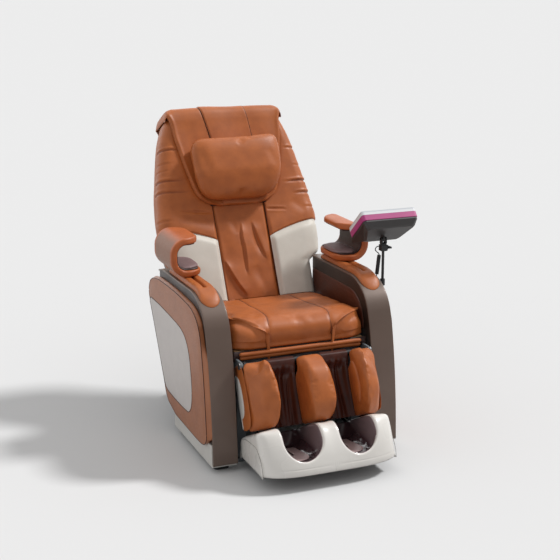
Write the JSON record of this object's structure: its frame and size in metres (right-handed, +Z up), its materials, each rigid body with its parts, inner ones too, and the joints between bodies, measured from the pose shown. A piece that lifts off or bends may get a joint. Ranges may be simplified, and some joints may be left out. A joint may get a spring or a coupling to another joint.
{
  "type": "massage chair",
  "caption": "Reclining massage armchair in orange leather with arm cuffs, padded calf channels, a white foot massager and a touch tablet on a stalk.",
  "frame": {"origin": "on the floor, in the chair's middle plane, on the underside of the middle cross plate of its base frame", "axes": "+Z up; -Y the way the sitter looks, so the back leans towards +Y; +X the sitter's left, where the tablet stands"},
  "size_m": [0.8805, 1.2415, 1.1452],
  "materials": {
    "orange_leather": "satin",
    "cream_leather": "satin",
    "brown_leather": "satin",
    "bronze_plastic": "satin",
    "umber_plastic": "satin",
    "cream_plastic": "satin",
    "white_plastic": "gloss",
    "plum_plastic": "gloss",
    "black_plastic": "satin",
    "graphite_plastic": "satin",
    "magenta_plastic": "satin",
    "red_plastic": "satin",
    "screen_glass": "gloss",
    "roller_plastic": "satin",
    "frame_paint": "satin",
    "motor_paint": "satin",
    "zinc_steel": "satin",
    "cast_aluminium": "satin",
    "black_rubber": "matte",
    "plywood": "matte"
  },
  "bodies": {
    "base": {"base_frame": "frame_paint", "seat_frame": "frame_paint", "seat_board": "plywood", "seat_cushion": "orange_leather", "seat_skirt": "orange_leather", "right_arm_core": "umber_plastic", "left_arm_core": "umber_plastic", "right_arm_band": "bronze_plastic", "left_arm_band": "bronze_plastic", "right_side_panel": "orange_leather", "left_side_panel": "orange_leather", "side_insets": "cream_leather", "inner_panels": "brown_leather", "arm_bases": "cream_plastic", "arm_plinths": "black_rubber", "arm_pads": "orange_leather", "rear_cover": "black_plastic", "control_box": "black_plastic", "air_pump": "cast_aluminium", "power_inlet": "black_plastic", "recline_motor": "motor_paint", "leg_motor": "motor_paint", "arm_bolts": "zinc_steel", "pivot_pins": "zinc_steel", "tablet_stalk": "motor_paint", "tablet_lead": "black_rubber", "lead_sleeve": "black_plastic"},
    "power_switch": {"power_switch": "red_plastic"},
    "rear_wheels": {"rear_wheels": "black_rubber"},
    "recline_rod": {"recline_rod": "zinc_steel"},
    "leg_rod": {"leg_rod": "zinc_steel"},
    "back": {"back_frame": "frame_paint", "back_shell": "umber_plastic", "back_cushion": "orange_leather", "centre_panel": "orange_leather", "lumbar_pads": "cream_leather", "headrest_hood": "orange_leather", "head_pillow": "orange_leather"},
    "massage_carriage": {"massage_carriage": "cast_aluminium"},
    "upper_rollers": {"upper_rollers": "roller_plastic"},
    "lower_rollers": {"lower_rollers": "roller_plastic"},
    "leg_rest": {"calf_frame": "frame_paint", "calf_shell": "cream_plastic", "calf_trough": "brown_leather", "right_calf_pad": "orange_leather", "middle_calf_pad": "orange_leather", "left_calf_pad": "orange_leather"},
    "foot_unit": {"foot_shell": "white_plastic", "foot_liners": "plum_plastic", "foot_carrier": "motor_paint"},
    "foot_wheels": {"foot_wheels": "cast_aluminium"},
    "right_cuff": {"right_cuff": "orange_leather", "right_cuff_lining": "brown_leather"},
    "left_cuff": {"left_cuff": "orange_leather", "left_cuff_lining": "brown_leather"},
    "clamp_head": {"clamp_head": "black_plastic"},
    "clamp_knob": {"clamp_knob": "black_plastic"},
    "tablet": {"tablet_shell": "graphite_plastic", "tablet_rim": "magenta_plastic", "tablet_screen": "screen_glass"}
  },
  "joints": [
    {"name": "recline", "type": "hinge", "parent": "base", "child": "back", "pos_m": [0, 0.15, 0.4], "axis": [-1, 0, 0], "range_deg": [0, 42]},
    {"name": "recline_rod_slide", "type": "slide", "parent": "base", "child": "recline_rod", "axis": [0, -1, 0], "range_m": [0, 0.0862]},
    {"name": "leg_lift", "type": "hinge", "parent": "base", "child": "leg_rest", "pos_m": [0, -0.398, 0.372], "axis": [-1, 0, 0], "range_deg": [0, 65]},
    {"name": "leg_rod_slide", "type": "slide", "parent": "base", "child": "leg_rod", "axis": [0, -1, 0], "range_m": [0, 0.0753]},
    {"name": "foot_extend", "type": "slide", "parent": "leg_rest", "child": "foot_unit", "axis": [0, -0.4478, -0.8941], "range_m": [0, 0.0801]},
    {"name": "foot_wheels_spin", "type": "hinge", "parent": "foot_unit", "child": "foot_wheels", "pos_m": [0, -0.383, 0.034], "axis": [1, 0, 0], "continuous": true},
    {"name": "massage_travel", "type": "slide", "parent": "back", "child": "massage_carriage", "axis": [0, 0.4415, 0.8973], "range_m": [0, 0.4]},
    {"name": "upper_rollers_spin", "type": "hinge", "parent": "massage_carriage", "child": "upper_rollers", "pos_m": [0, 0.21539, 0.59737], "axis": [1, 0, 0], "continuous": true},
    {"name": "lower_rollers_spin", "type": "hinge", "parent": "massage_carriage", "child": "lower_rollers", "pos_m": [0, 0.17477, 0.51483], "axis": [1, 0, 0], "continuous": true},
    {"name": "right_cuff_slide", "type": "slide", "parent": "base", "child": "right_cuff", "axis": [0, -1, 0], "range_m": [0, 0.03]},
    {"name": "left_cuff_slide", "type": "slide", "parent": "base", "child": "left_cuff", "axis": [0, -1, 0], "range_m": [0, 0.03]},
    {"name": "tablet_swivel", "type": "hinge", "parent": "base", "child": "clamp_head", "pos_m": [0.374, -0.235, 0.708], "axis": [0, 0, 1], "range_deg": [-5, 20]},
    {"name": "tablet_tilt", "type": "hinge", "parent": "clamp_head", "child": "tablet", "pos_m": [0.374, -0.235, 0.728], "axis": [1, 0, 0], "range_deg": [-25, 25]},
    {"name": "clamp_turn", "type": "hinge", "parent": "base", "child": "clamp_knob", "pos_m": [0.386, -0.235, 0.697], "axis": [1, 0, 0], "range_deg": [-90, 90]},
    {"name": "rear_wheels_spin", "type": "hinge", "parent": "base", "child": "rear_wheels", "pos_m": [0, 0.378, 0.034], "axis": [1, 0, 0], "continuous": true},
    {"name": "switch_rock", "type": "hinge", "parent": "base", "child": "power_switch", "pos_m": [-0.104, 0.338, 0.106], "axis": [1, 0, 0], "range_deg": [-8, 8]}
  ],
  "couplings": [
    {"joint": "recline_rod_slide", "follows": "recline", "m_per_rad": 0.1173},
    {"joint": "leg_rod_slide", "follows": "leg_lift", "m_per_rad": 0.0663},
    {"joint": "foot_extend", "follows": "leg_lift", "m_per_rad": 0.0705}
  ]
}
